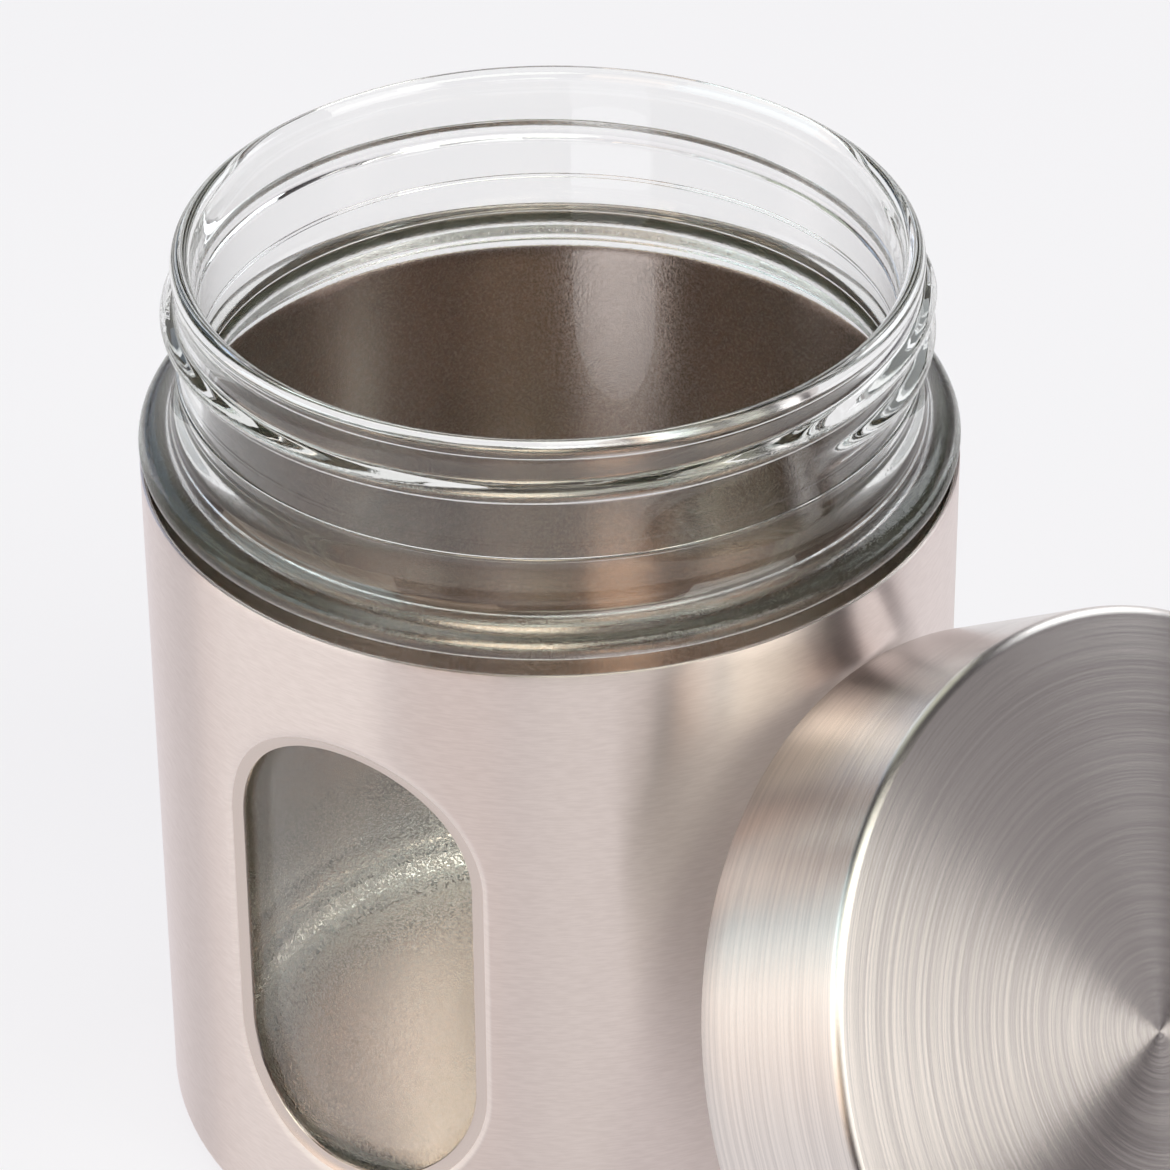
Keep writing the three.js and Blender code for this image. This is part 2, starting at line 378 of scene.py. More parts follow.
class Sheet:
    """The node sheet of a finish, the floor or the world."""

    def __init__(self, tree: bpy.types.NodeTree) -> None:
        """Clear a node tree to draw on."""
        self.tree = tree
        tree.nodes.clear()

    def node(self, kind: str, settings: dict[str, Any], sockets: dict[Any, Value]) -> dict[str, Wire]:
        """Add a node.

        Args:
            kind: The node's type.
            settings: Its own settings, which are set first.
            sockets: Values or links of its inputs, by name, or by number where names repeat.

        Returns:
            Its outputs by name.
        """
        node = self.tree.nodes.new(kind)
        for key, value in settings.items():
            setattr(node, key, value)
        for key, value in sockets.items():
            named = [s for s in node.inputs if s.enabled and s.name == key]
            socket = node.inputs[key] if isinstance(key, int) else named[0]
            if isinstance(value, Wire):
                self.tree.links.new(value.socket, socket)
            else:
                socket.default_value = value
        return {output.name: Wire(self, output) for output in node.outputs if output.enabled}

    def vector(self, operation: str, *values: Value) -> Wire:
        """Add a Vector Math node that gives a vector."""
        settings = {"operation": operation}
        return self.node("ShaderNodeVectorMath", settings, dict(enumerate(values)))["Vector"]

    def measure(self, operation: str, *values: Value) -> Wire:
        """Add a Vector Math node that gives a number."""
        settings = {"operation": operation}
        return self.node("ShaderNodeVectorMath", settings, dict(enumerate(values)))["Value"]

    def times(self, vector: Value, factor: Value) -> Wire:
        """Lengthen a vector by a number."""
        sockets = {0: vector, 3: factor}
        return self.node("ShaderNodeVectorMath", {"operation": "SCALE"}, sockets)["Vector"]

    def blend(self, share: Value, first: Value, second: Value) -> Wire:
        """Mix two colours by a share of the second."""
        sockets = {"Factor": share, "A": first, "B": second}
        return self.node("ShaderNodeMix", {"data_type": "RGBA"}, sockets)["Result"]

    def noise(self, place: Value, scale: float, detail: float) -> Wire:
        """Give a soft noise about 0.5 at a place."""
        sockets = {"Vector": place, "Scale": scale, "Detail": detail}
        return self.node("ShaderNodeTexNoise", {}, sockets)["Fac"]

    def bump(self, height: Wire) -> Wire:
        """Give the normal of a surface raised by a height in metres."""
        sockets = {"Strength": 1.0, "Distance": 1.0, "Height": height}
        return self.node("ShaderNodeBump", {}, sockets)["Normal"]

    def place(self) -> Wire:
        """Give the point's place on its object."""
        return self.node("ShaderNodeTexCoord", {}, {})["Object"]


def opaque(colour: Colour) -> tuple[float, float, float, float]:
    """Give a colour with full alpha, as a colour socket takes it."""
    return (*colour, 1.0)


@dataclass(frozen=True)
class Finish:
    """A finish that a piece wears."""

    name: str

    def material(self) -> bpy.types.Material:
        """Make the finish's material.

        Returns:
            A new material, drawn by the finish's shader.
        """
        made = bpy.data.materials.new(self.name)
        made.use_nodes = True
        sheet = Sheet(made.node_tree)
        sheet.node("ShaderNodeOutputMaterial", {}, self.shader(sheet))
        return made

    def shader(self, sheet: Sheet) -> dict[str, Wire]:
        """Draw the finish; each kind has its own drawing."""
        raise NotImplementedError


@dataclass(frozen=True)
class BrushedSteel(Finish):
    """Stainless sheet with fine grooves that run round an axis.

    The grooves and the wider streaks of tone are noise, stretched along their run. Hairs lean the surface
    to both sides across it, in several lobes that are mixed. Nearer to the axis than inner_reach the sheet
    is plain, as on the inside of a cup.
    """

    axis: tuple[float, float, float]
    centre: tuple[float, float, float]
    light_tone: Colour
    dark_tone: Colour
    roughness: float
    anisotropy: float
    groove_slope: float
    inner_reach: float = 0.0
    inner_roughness: float = 0.0
    inner_tone: Colour = (0.64, 0.55, 0.505)
    hair_slope: float = 0.0
    hair_lobes: int = 1
    groove: float = 0.35 * MM
    streak: float = 1.2 * MM
    run: float = 3.0
    groove_breaks: float = 2.0
    streak_breaks: float = 3.0
    tone_range: Point = (0.35, 0.65)
    inner_edge: float = 0.1 * MM
    lean_falloff: float = 2.0

    def shader(self, sheet: Sheet) -> dict[str, Wire]:
        """Draw grooves that tilt the surface across their run, and streaks of tone along it.

        Args:
            sheet: The sheet of the steel's material.

        Returns:
            The surface, under the name of the output's socket.
        """
        coordinates = sheet.node("ShaderNodeTexCoord", {}, {})
        spoke = sheet.vector("SUBTRACT", coordinates["Object"], self.centre)
        along = sheet.vector("NORMALIZE", sheet.vector("CROSS_PRODUCT", self.axis, spoke))
        across = sheet.vector("CROSS_PRODUCT", along, coordinates["Normal"])
        rise = sheet.measure("DOT_PRODUCT", spoke, self.axis)
        level = sheet.times(self.axis, rise)
        reach = sheet.measure("DISTANCE", spoke, level)
        turn = sheet.times(along, self.run)

        def grooves(pitch: float, detail: float) -> Wire:
            """Draw noise that changes quickly across the grooves and slowly along them."""
            lane = sheet.times(self.axis, (rise + reach) * (1 / pitch))
            return sheet.noise(sheet.vector("ADD", turn, lane), 1.0, detail)

        fine = grooves(self.groove, self.groove_breaks)
        broad = grooves(self.streak, self.streak_breaks)
        lines = (fine + broad) * 0.5
        brushed = reach.ramp(self.inner_reach - self.inner_edge, self.inner_reach)
        tone = sheet.blend(lines.ramp(*self.tone_range), opaque(self.dark_tone), opaque(self.light_tone))
        colour = sheet.blend(brushed, opaque(self.inner_tone), tone)
        roughness = self.inner_roughness + brushed * (self.roughness - self.inner_roughness)
        settings = {"vector_type": "NORMAL", "convert_from": "OBJECT", "convert_to": "WORLD"}
        surface = None
        weight_so_far = 0.0
        for share, weight in self.hair_leans():
            lean = (fine - NOISE_MIDDLE) * self.groove_slope + share * self.hair_slope
            tilt = sheet.times(across, lean * brushed)
            leaning = sheet.vector("NORMALIZE", sheet.vector("ADD", coordinates["Normal"], tilt))
            normal = sheet.node("ShaderNodeVectorTransform", settings, {"Vector": leaning})["Vector"]
            steel = sheet.node("ShaderNodeBsdfPrincipled", {}, {
                "Base Color": colour,
                "Metallic": 1.0,
                "Roughness": roughness,
                "Anisotropic": self.anisotropy,
                "Anisotropic Rotation": QUARTER_TURN,
                "Normal": normal,
            })["BSDF"]
            weight_so_far += weight
            sockets = {0: weight / weight_so_far, 1: surface, 2: steel}
            surface = sheet.node("ShaderNodeMixShader", {}, sockets)["Shader"] if surface else steel
        return {"Surface": surface}

    def hair_leans(self) -> list[tuple[float, float]]:
        """Share the surface out among the leans of the hairs' two flanks.

        Returns:
            Each lean, from -1 on one flank to 1 on the other, and how much of the surface leans so.
        """
        if self.hair_lobes == 1:
            return [(0.0, 1.0)]
        leans = [2 * step / (self.hair_lobes - 1) - 1 for step in range(self.hair_lobes)]
        return [(lean, math.exp(-self.lean_falloff * lean * lean)) for lean in leans]


@dataclass(frozen=True)
class PressedGlass(Finish):
    """Clear pressed glass, faintly green where it is thick, with a frosted thread crest."""

    frost_radius: float
    frost_width: float
    index: float = 1.5
    thickness_tint: Colour = (0.5, 0.56, 0.4)
    density: float = 6.0
    ripple_size: float = 12 * MM
    ripple_height: float = 0.012 * MM
    ripple_detail: float = 1.0
    speckle_size: float = 0.35 * MM
    speckle_detail: float = 2.0
    speckle_range: Point = (0.42, 0.62)
    frost_depth: float = 0.02 * MM
    frost_roughness: float = 0.25

    def shader(self, sheet: Sheet) -> dict[str, Wire]:
        """Draw clear glass with soft ripples, frosted where the thread stands out furthest.

        Args:
            sheet: The sheet of the glass's material.

        Returns:
            The surface and the volume, under the names of the output's sockets.
        """
        place = sheet.place()
        flat = sheet.vector("MULTIPLY", place, (1.0, 1.0, 0.0))
        reach = sheet.measure("LENGTH", flat)
        crest = reach.ramp(self.frost_radius - self.frost_width, self.frost_radius)
        speckle = sheet.noise(place, 1 / self.speckle_size, self.speckle_detail)
        frost = crest * speckle.ramp(*self.speckle_range)
        ripple = sheet.noise(place, 1 / self.ripple_size, self.ripple_detail)
        height = ripple * self.ripple_height + frost * speckle * self.frost_depth
        glass = sheet.node("ShaderNodeBsdfPrincipled", {}, {
            "Base Color": (1.0, 1.0, 1.0, 1.0),
            "Roughness": frost * self.frost_roughness,
            "IOR": self.index,
            "Transmission Weight": 1.0,
            "Normal": sheet.bump(height),
        })
        sockets = {"Color": opaque(self.thickness_tint), "Density": self.density}
        tint = sheet.node("ShaderNodeVolumeAbsorption", {}, sockets)
        return {"Surface": glass["BSDF"], "Volume": tint["Volume"]}


@dataclass(frozen=True)
class MouldedSkin(Finish):
    """Moulded plastic or rubber: one tone with faint clouds and a fine grain."""

    tone: Colour
    cloud: Colour
    roughness: float
    grain_size: float
    grain_height: float
    grain_detail: float = 2.0
    cloud_size: float = 14 * MM
    cloud_detail: float = 3.0
    cloud_range: Point = (0.35, 0.7)
    roughness_spread: float = 0.1

    def shader(self, sheet: Sheet) -> dict[str, Wire]:
        """Draw clouds in the tone and a fine grain in the surface.

        Args:
            sheet: The sheet of the skin's material.

        Returns:
            The surface, under the name of the output's socket.
        """
        place = sheet.place()
        clouds = sheet.noise(place, 1 / self.cloud_size, self.cloud_detail)
        grain = sheet.noise(place, 1 / self.grain_size, self.grain_detail)
        colour = sheet.blend(clouds.ramp(*self.cloud_range), opaque(self.tone), opaque(self.cloud))
        skin = sheet.node("ShaderNodeBsdfPrincipled", {}, {
            "Base Color": colour,
            "Roughness": self.roughness + (grain - NOISE_MIDDLE) * self.roughness_spread,
            "Normal": sheet.bump(grain * self.grain_height),
        })
        return {"Surface": skin["BSDF"]}


@dataclass(frozen=True)
class HelixRidge:
    """A right-hand thread ridge that fades in and out at its ends."""

    start_angle: float
    start_height: float
    lead: float
    turns: float
    width: float
    fade: float = 28.0
    roundness: float = 1.2

    def share(self, place: Vector) -> float:
        """Give the ridge's height at a place on its wall, as a share of its full height.

        Args:
            place: A point on the wall, in the thread's own frame.

        Returns:
            1 on the crest, 0 off the ridge.
        """
        bearing = (math.degrees(math.atan2(place.y, place.x)) - self.start_angle) % 360
        best = 0.0
        for lap in range(math.ceil(self.turns) + 1):
            along = bearing + 360 * lap
            end = self.turns * 360
            if along <= end:
                off = 2 * (place.z - self.start_height - self.lead * along / 360) / self.width
                section = max(0.0, 1 - off * off) ** self.roundness
                best = max(best, section * ease(min(along, end - along) / self.fade))
        return best


@dataclass(frozen=True)
class GlassJar:
    """The pressed glass jar, measured from the sleeve that it stands in.

    The foot's land is flat and slopes up to a hollow. The shoulder is a bead that stands over the sleeve's
    edge, with a cove above it up to the neck. Two mould seams run up opposite sides.
    """

    sleeve_radius: float
    sleeve_height: float
    base: float
    rim: float
    radius: float = 52.0 * MM
    wall: float = 3.2 * MM
    floor: float = 5.5 * MM
    heel_outside: float = 3 * MM
    heel_inside: float = 11.5 * MM
    foot_land: float = 2.4 * MM
    foot_slope: float = 4.6 * MM
    push_up: float = 1.2 * MM
    shoulder_width: float = 5.6 * MM
    shoulder_gap: float = 1.9 * MM
    bead: float = 1.5 * MM
    bead_sweep: float = 70
    shoulder_rise: float = 8.2 * MM
    neck_wall: float = 2.8 * MM
    lip_round: float = 1.3 * MM
    lip_proud: float = 0.35 * MM
    lip_taper: float = 3.9 * MM
    parting: float = 0.32 * MM
    thread_height: float = 1.9 * MM
    thread_drop: float = 12.2 * MM
    thread_start: float = -6.7
    thread_lead: float = 6 * MM
    thread_turns: float = 1.2
    thread_width: float = 3.4 * MM
    seam_angle: float = -71.7
    seam_width: float = 0.3
    seam_height: float = 0.25 * MM
    seam_strip: float = 4
    seam_steps: int = 8
    half_steps: int = 128
    frost_width: float = 0.7 * MM
    crease: float = 60

    @property
    def neck(self) -> float:
        """Outside radius of the neck's wall."""
        return self.sleeve_radius - self.shoulder_width

    def profile(self) -> list[Point]:
        """Draw the outside from the foot up to the lip, and the inside back down to the floor.

        Returns:
            Radius and height of each point, in order.
        """
        bore = self.radius - self.wall
        neck_bore = self.neck - self.neck_wall
        heel = self.radius - self.heel_outside
        bead_centre = (self.sleeve_radius - self.bead, self.sleeve_height + self.shoulder_gap + self.bead)
        bead = arc(bead_centre, (self.bead, self.bead), -90, self.bead_sweep, steps=20)
        cove_centre = (bead[-1][0], bead[-1][1] + self.shoulder_rise)
        cove = arc(cove_centre, (bead[-1][0] - self.neck, self.shoulder_rise), 270, 180, steps=22)
        parting_centre = (self.neck, cove_centre[1] + 2 * self.parting)
        parting = arc(parting_centre, (self.parting, self.parting), -90, 90, steps=8)
        lip_centre = (self.neck + self.lip_proud - self.lip_round, self.rim - self.lip_round)
        lip_start = -math.degrees(math.acos(1 - self.lip_proud / self.lip_round))
        lip = arc(lip_centre, (self.lip_round, self.lip_round), lip_start, 180, steps=28)
        inner_top = cove_centre[1] - self.shoulder_rise / 2
        half_drop = (inner_top - self.sleeve_height) / 2
        half_step = (bore - neck_bore) / 2
        floor = self.base + self.floor
        floor_edge = bore - self.heel_inside
        hollow = self.base + self.push_up
        hollow_edge = heel - self.foot_land - self.foot_slope
        heel_top = self.base + self.heel_outside
        heel_rounds = (self.heel_outside, self.heel_outside)
        wall_top = self.sleeve_height + self.shoulder_gap
        floor_rise = floor + self.heel_inside
        floor_rounds = (self.heel_inside, self.heel_inside)
        return [
            (0.0, hollow),
            *straight((heel / 2, hollow), (hollow_edge, hollow), steps=3),
            *straight((heel - self.foot_land, self.base), (heel, self.base), steps=2)[:-1],
            *arc((heel, heel_top), heel_rounds, -90, 0, steps=14),
            *straight((self.radius, heel_top), (self.radius, wall_top), steps=24)[1:],
            *bead,
            *cove[1:],
            *parting,
            *straight((self.neck, parting[-1][1]), lip[0], steps=60)[1:-1],
            *lip,
            *straight((neck_bore, self.rim - self.lip_taper), (neck_bore, inner_top), steps=10),
            *arc((neck_bore + half_step, inner_top), (half_step, half_drop), 180, 270, steps=12)[1:],
            *arc((bore - half_step, self.sleeve_height), (half_step, half_drop), 90, 0, steps=12)[1:],
            *straight((bore, self.sleeve_height), (bore, floor_rise), steps=24)[1:],
            *arc((floor_edge, floor_rise), floor_rounds, 0, -90, steps=16)[1:],
            *straight((floor_edge, floor), (floor_edge / 4, floor), steps=4)[1:],
            (0.0, floor),
        ]

    def seam_share(self, place: Vector) -> float:
        """Give the mould seam's height at a place, as a share of its full height.

        Args:
            place: A point on the jar.

        Returns:
            1 on the seam's crest, 0 off the seam.
        """
        outside = math.hypot(place.x, place.y) > self.neck - self.bead / 2
        bearing = math.degrees(math.atan2(place.y, place.x)) - self.seam_angle
        off = abs((bearing + 90) % 180 - 90) / self.seam_width
        return max(0.0, 1 - off) if outside and place.z > self.base + self.heel_outside else 0.0

    def build(self) -> bpy.types.Object:
        """Turn the jar, with fine steps across its mould seams, raise its thread and seams, and dress it.

        Returns:
            The finished jar.
        """
        seam = (self.seam_strip * self.seam_width, self.seam_steps)
        half = (180 - seam[0], self.half_steps)
        bench = Bench.turned("glass_jar_fine", self.profile(), [seam, half, seam, half])
        bench.place(Matrix.Rotation(math.radians(self.seam_angle - seam[0] / 2), 4, "Z"))
        ridge = HelixRidge(
            start_angle=self.thread_start,
            start_height=self.rim - self.thread_drop,
            lead=self.thread_lead,
            turns=self.thread_turns,
            width=self.thread_width,
        )

        def thread_share(place: Vector) -> float:
            """Give the thread's share on the outside of the neck alone."""
            on_wall = math.hypot(place.x, place.y) > self.neck - self.neck_wall / 2
            return ridge.share(place) if on_wall else 0.0

        bench.swell(self.thread_height, thread_share)
        bench.swell(self.seam_height, self.seam_share)
        bench.smooth(self.crease)
        glass = PressedGlass(
            name="Pressed glass",
            frost_radius=self.neck + self.thread_height,
            frost_width=self.frost_width,
        )
        return bench.hand_over(glass, body="jar", node="glass_jar", slot="glass")


@dataclass(frozen=True)
class SteelSleeve:
    """The drawn steel cup with a round-ended window, whose border is pressed inwards.

    The wall is modelled flat and rolled up. The outline of the window's rings has as many points as the
    rectangle that they are bridged to: round_points + 2 * side_cuts = 2 * (panel_rows + panel_columns).
    """

    radius: float
    height: float
    wall: float = 0.6 * MM
    corner: float = 3 * MM
    window_width: float = 36 * MM
    window_height: float = 68 * MM
    window_angle: float = -77.4
    border_width: float = 2.8 * MM
    border_depth: float = 0.9 * MM
    surround: float = 6 * MM
    panel_width: float = 90 * MM
    edge_round: float = 0.12 * MM
    edge_segments: int = 2
    edge_angle: float = 50
    crease: float = 40
    round_points: int = 118
    side_cuts: int = 15
    panel_rows: int = 40
    panel_columns: int = 34
    bridge_cuts: int = 7
    surround_steps: int = 3
    border_steps: int = 8
    bottom_rings: tuple[float, ...] = (0.7, 0.4, 0.1)

    def window_panel(self) -> Bench:
        """Model rings of the window's outline, flat, and press the innermost ones in as its border.

        Returns:
            The bench that holds the rings.
        """
        middle = self.height / 2
        ring = self.window_width / 2 + self.border_width + self.surround
        bench = Bench.start(
            "steel_sleeve_fine",
            bpy.ops.mesh.primitive_circle_add,
            vertices=self.round_points,
            radius=ring,
            fill_type="NGON",
            location=(0, 0, middle),
            rotation=(math.pi / 2, 0, 0),
        )
        half_side = (self.window_height - self.window_width) / 2
        with bench.editing():
            bpy.ops.transform.rotate(value=math.pi / self.round_points, orient_axis="Y",
                                     center_override=(0, 0, middle))
            bench.pick(lambda place: place.z > middle)
            bench.move((0, 0, half_side))
            bench.pick(lambda place: place.z < middle)
            bench.move((0, 0, -half_side))
            bench.pick_long_edges(half_side)
            bpy.ops.mesh.subdivide(number_cuts=self.side_cuts)
            bpy.ops.mesh.select_mode(type="FACE")
            bpy.ops.mesh.select_all(action="SELECT")
            for _ in range(self.surround_steps):
                bpy.ops.mesh.inset(thickness=self.surround / self.surround_steps)
            for step in range(self.border_steps):
                bpy.ops.mesh.inset(thickness=self.border_width / self.border_steps)
                press = ease((step + 1) / self.border_steps) - ease(step / self.border_steps)
                bench.move((0, self.border_depth * press, 0))
            bpy.ops.mesh.delete(type="FACE")
        return bench

    def sheet(self, bench: Bench) -> None:
        """Bridge the window's rings to a rectangle, and run the sheet out to both sides of it.

        Args:
            bench: The bench that holds the rings.
        """
        half_panel = self.panel_width / 2
        half_turn = math.pi * self.radius
        middle = (self.height + self.corner) / 2
        rise = self.height - self.corner
        columns = round((half_turn - half_panel) / (rise / self.panel_rows))
        with bench.editing():
            bpy.ops.mesh.select_mode(type="EDGE")
            bpy.ops.mesh.select_all(action="DESELECT")
            bpy.ops.mesh.primitive_plane_add(size=1, location=(0, 0, middle), rotation=(math.pi / 2, 0, 0))
            bpy.ops.transform.resize(value=(self.panel_width, 1, rise), center_override=(0, 0, middle))
            bpy.ops.mesh.delete(type="ONLY_FACE")
            bpy.ops.mesh.select_mode(type="VERT")
            on_side = half_panel - self.wall
            bench.pick(lambda place: place.x > on_side)
            bpy.ops.mesh.subdivide(number_cuts=self.panel_rows - 1)
            bench.pick(lambda place: place.x < -on_side)
            bpy.ops.mesh.subdivide(number_cuts=self.panel_rows - 1)
            for edge in (self.corner, self.height):
                bench.pick(lambda place: abs(place.z - edge) < self.wall)
                bpy.ops.mesh.subdivide(number_cuts=self.panel_columns - 1)
            self.pick_open_edges(bench)
            bpy.ops.mesh.bridge_edge_loops(number_cuts=self.bridge_cuts, interpolation="LINEAR")
            step = (half_turn - half_panel) / columns
            for side in (1, -1):
                bench.pick(lambda place: abs(place.x - side * half_panel) < self.wall)
                for _ in range(columns):
                    bench.extrude((side * step, 0, 0))

    def pick_open_edges(self, bench: Bench) -> None:
        """Select the outer edges of the window's rings and the rectangle, but not the window's own edge.

        Args:
            bench: The bench that holds both.
        """
        limit = self.window_width / 2 + self.border_width / 2
        bpy.ops.mesh.select_mode(type="EDGE")
        bpy.ops.mesh.select_all(action="DESELECT")
        mesh = bmesh.from_edit_mesh(bench.piece.data)
        half_side = (self.window_height - self.window_width) / 2
        for edge in mesh.edges:
            centre = (edge.verts[0].co + edge.verts[1].co) / 2
            over = max(0.0, abs(centre.z - self.height / 2) - half_side)
            edge.select = len(edge.link_faces) < 2 and math.hypot(centre.x, over) > limit
        bmesh.update_edit_mesh(bench.piece.data)

    def roll_up(self, bench: Bench) -> None:
        """Bend the sheet into a tube whose window faces its angle.

        Args:
            bench: The bench that holds the flat sheet.
        """
        bench.finish_with("SIMPLE_DEFORM", deform_method="BEND", deform_axis="Z", angle=2 * math.pi)
        turn = Matrix.Rotation(math.radians(self.window_angle + 90), 4, "Z")
        bench.place(turn @ Matrix.Translation((0, -self.radius, 0)))

    def draw_bottom(self, bench: Bench) -> None:
        """Close the tube's seam, draw its lower edge round the corner and close it with a flat bottom.

        Args:
            bench: The bench that holds the tube.
        """
        corner = arc((self.radius - self.corner, self.corner), (self.corner, self.corner), 0, -90, steps=8)
        flat = [(self.radius * share, 0.0) for share in self.bottom_rings]
        with bench.editing():
            bench.close()
            bench.pick(lambda place: place.z < self.corner + self.edge_round)
            for before, after in pairwise([*corner, *flat]):
                bench.draw_ring(before, after)
            bpy.ops.mesh.edge_face_add()
            bench.close()

    def build(self) -> bpy.types.Object:
        """Model the sheet flat, roll it up, draw its bottom, give it its thickness and dress it.

        Returns:
            The finished sleeve.
        """
        bench = self.window_panel()
        self.sheet(bench)
        self.roll_up(bench)
        self.draw_bottom(bench)
        bench.finish_with("SOLIDIFY", thickness=self.wall, offset=-1.0, use_even_offset=True)
        bench.finish_with(
            "BEVEL",
            width=self.edge_round,
            segments=self.edge_segments,
            limit_method="ANGLE",
            angle_limit=math.radians(self.edge_angle),
        )
        bench.smooth(self.crease)
        steel = BrushedSteel(
            name="Sleeve steel",
            axis=(0.0, 0.0, 1.0),
            centre=(0.0, 0.0, 0.0),
            light_tone=(0.82, 0.715, 0.68),
            dark_tone=(0.765, 0.66, 0.625),
            roughness=0.32,
            anisotropy=1.0,
            groove_slope=0.07,
            inner_reach=self.radius - self.wall / 2,
            inner_roughness=0.14,
            groove=0.2 * MM,
            streak=0.5 * MM,
            run=24.0,
        )
        return bench.hand_over(steel, body="sleeve", node="steel_sleeve", slot="sleeve_steel")


@dataclass(frozen=True)
class BaseCushion:
    """The soft ring between the jar's foot and the sleeve's bottom."""

    bottom: float
    top: float
    radius: float
    width: float = 9 * MM
    edge: float = 0.5 * MM
    edge_steps: int = 5
    turn_steps: int = 128
    crease: float = 40

    def build(self) -> bpy.types.Object:
        """Turn the ring with rounded edges and dress it.

        Returns:
            The finished ring.
        """
        ring = rounded_ring((self.radius - self.width, self.radius), (self.bottom, self.top),
                            self.edge, self.edge_steps)
        bench = Bench.turned("base_cushion_fine", ring, [(360, self.turn_steps)])
        bench.smooth(self.crease)
        foam = MouldedSkin(
            name="Cushion foam",
            tone=(0.93, 0.92, 0.9),
            cloud=(0.95, 0.945, 0.93),
            roughness=0.8,
            grain_size=0.6 * MM,
            grain_height=0.008 * MM,
        )
        return bench.hand_over(foam, body="sleeve", node="base_cushion", slot="cushion")


@dataclass(frozen=True)
class Lid:
    """The screw lid: a spun steel shell, a threaded plastic inner cap and a seal ring."""

    seat: Matrix
    axis: tuple[float, float, float]
    centre: tuple[float, float, float]
    radius: float = 54 * MM
    depth: float = 25.25 * MM
    corner: float = 1.3 * MM
    shell: float = 0.6 * MM
    edge_round: float = 0.15 * MM
    gap: float = 0.3 * MM
    cap_wall: float = 2.4 * MM
    cap_disc: float = 1.2 * MM
    cap_recess: float = 1.2 * MM
    cap_corner: float = 1 * MM
    cap_edge: float = 0.3 * MM
    thread_height: float = 1.5 * MM
    thread_width: float = 2.2 * MM
    thread_rise: float = 5 * MM
    thread_start: float = -6.7
    thread_lead: float = 6 * MM
    thread_turns: float = 1.0
    seal_inside: float = 44.3 * MM
    seal_thickness: float = 1.5 * MM
    seal_rib: float = 1.2 * MM
    seal_edge: float = 0.3 * MM
    edge_steps: int = 4
    shell_steps: int = 240
    cap_steps: int = 200
    seal_steps: int = 160
    crease: float = 40
    seal_crease: float = 50

    @property
    def cap_radius(self) -> float:
        """Outside radius of the inner cap."""
        return self.radius - self.shell - self.gap

    @property
    def cap_bore(self) -> float:
        """Inside radius of the inner cap's skirt."""
        return self.cap_radius - self.cap_wall

    @property
    def cap_top(self) -> float:
        """Height of the inner cap's top face above the lid's rim."""
        return self.depth - self.shell - self.gap

    def build_shell(self) -> bpy.types.Object:
        """Turn the steel shell with its rounded corner, lean it in its place and dress it.

        Returns:
            The finished shell.
        """
        inside = self.radius - self.shell
        under = self.depth - self.shell
        corner = (self.radius - self.corner, self.depth - self.corner)
        inner = self.corner - self.shell
        edge = self.edge_round
        hub = inside / 8
        profile = [
            (0.0, under),
            *straight((hub, under), (corner[0], under), steps=6)[:-1],
            *arc(corner, (inner, inner), 90, 0, steps=8),
            *straight((inside, corner[1]), (inside, edge), steps=6)[1:-1],
            *arc((inside + edge, edge), (edge, edge), 180, 270, steps=3),
            *arc((self.radius - edge, edge), (edge, edge), 270, 360, steps=3),
            *straight((self.radius, edge), (self.radius, corner[1]), steps=6)[1:-1],
            *arc(corner, (self.corner, self.corner), 0, 90, steps=14),
            *straight((corner[0], self.depth), (hub, self.depth), steps=8)[1:],
            (0.0, self.depth),
        ]
        bench = Bench.turned("lid_shell_fine", profile, [(360, self.shell_steps)])
        bench.place(self.seat)
        bench.smooth(self.crease)
        steel = BrushedSteel(
            name="Lid steel",
            axis=self.axis,
            centre=self.centre,
            light_tone=(0.78, 0.72, 0.685),
            dark_tone=(0.66, 0.605, 0.58),
            roughness=0.2,
            anisotropy=0.0,
            groove_slope=0.08,
            hair_slope=0.4,
            hair_lobes=9,
            groove=0.2 * MM,
            streak=0.5 * MM,
            run=0.8,
            groove_breaks=0.0,
            streak_breaks=1.0,
        )
        return bench.hand_over(steel, body="lid", node="lid_shell", slot="lid_steel")

    def build_cap(self) -> bpy.types.Object:
        """Turn the inner cap with its seal rib, raise its thread inwards and dress it.

        Returns:
            The finished cap.
        """
        under = self.cap_top - self.cap_disc
        rib_out = self.seal_inside - self.gap
        rib_in = rib_out - self.seal_rib
        rib_low = under - self.seal_thickness
        edge = self.cap_edge
        rounds = (edge, edge)
        foot = self.cap_recess
        hub = rib_in / 6
        corner = (self.cap_radius - self.cap_corner, self.cap_top - self.cap_corner)
        profile = [
            (0.0, under),
            *straight((hub, under), (rib_in, under), steps=5),
            *arc((rib_in + edge, rib_low + edge), rounds, 180, 270, self.edge_steps),
            *arc((rib_out - edge, rib_low + edge), rounds, 270, 360, self.edge_steps),
            (rib_out, under),
            (self.cap_bore, under),
            *straight((self.cap_bore, under), (self.cap_bore, foot + edge), steps=70)[1:-1],
            *arc((self.cap_bore + edge, foot + edge), rounds, 180, 270, self.edge_steps),
            *arc((self.cap_radius - edge, foot + edge), rounds, 270, 360, self.edge_steps),
            *arc(corner, (self.cap_corner, self.cap_corner), 0, 90, steps=8),
            *straight((corner[0], self.cap_top), (hub, self.cap_top), steps=5)[1:],
            (0.0, self.cap_top),
        ]
        bench = Bench.turned("lid_inner_cap_fine", profile, [(360, self.cap_steps)])
        ridge = HelixRidge(
            start_angle=self.thread_start,
            start_height=foot + self.thread_rise,
            lead=self.thread_lead,
            turns=self.thread_turns,
            width=self.thread_width,
        )

        def thread_share(place: Vector) -> float:
            """Give the thread's share on the skirt's inside alone."""
            reach = math.hypot(place.x, place.y)
            return ridge.share(place) if rib_out < reach < self.cap_bore + edge else 0.0

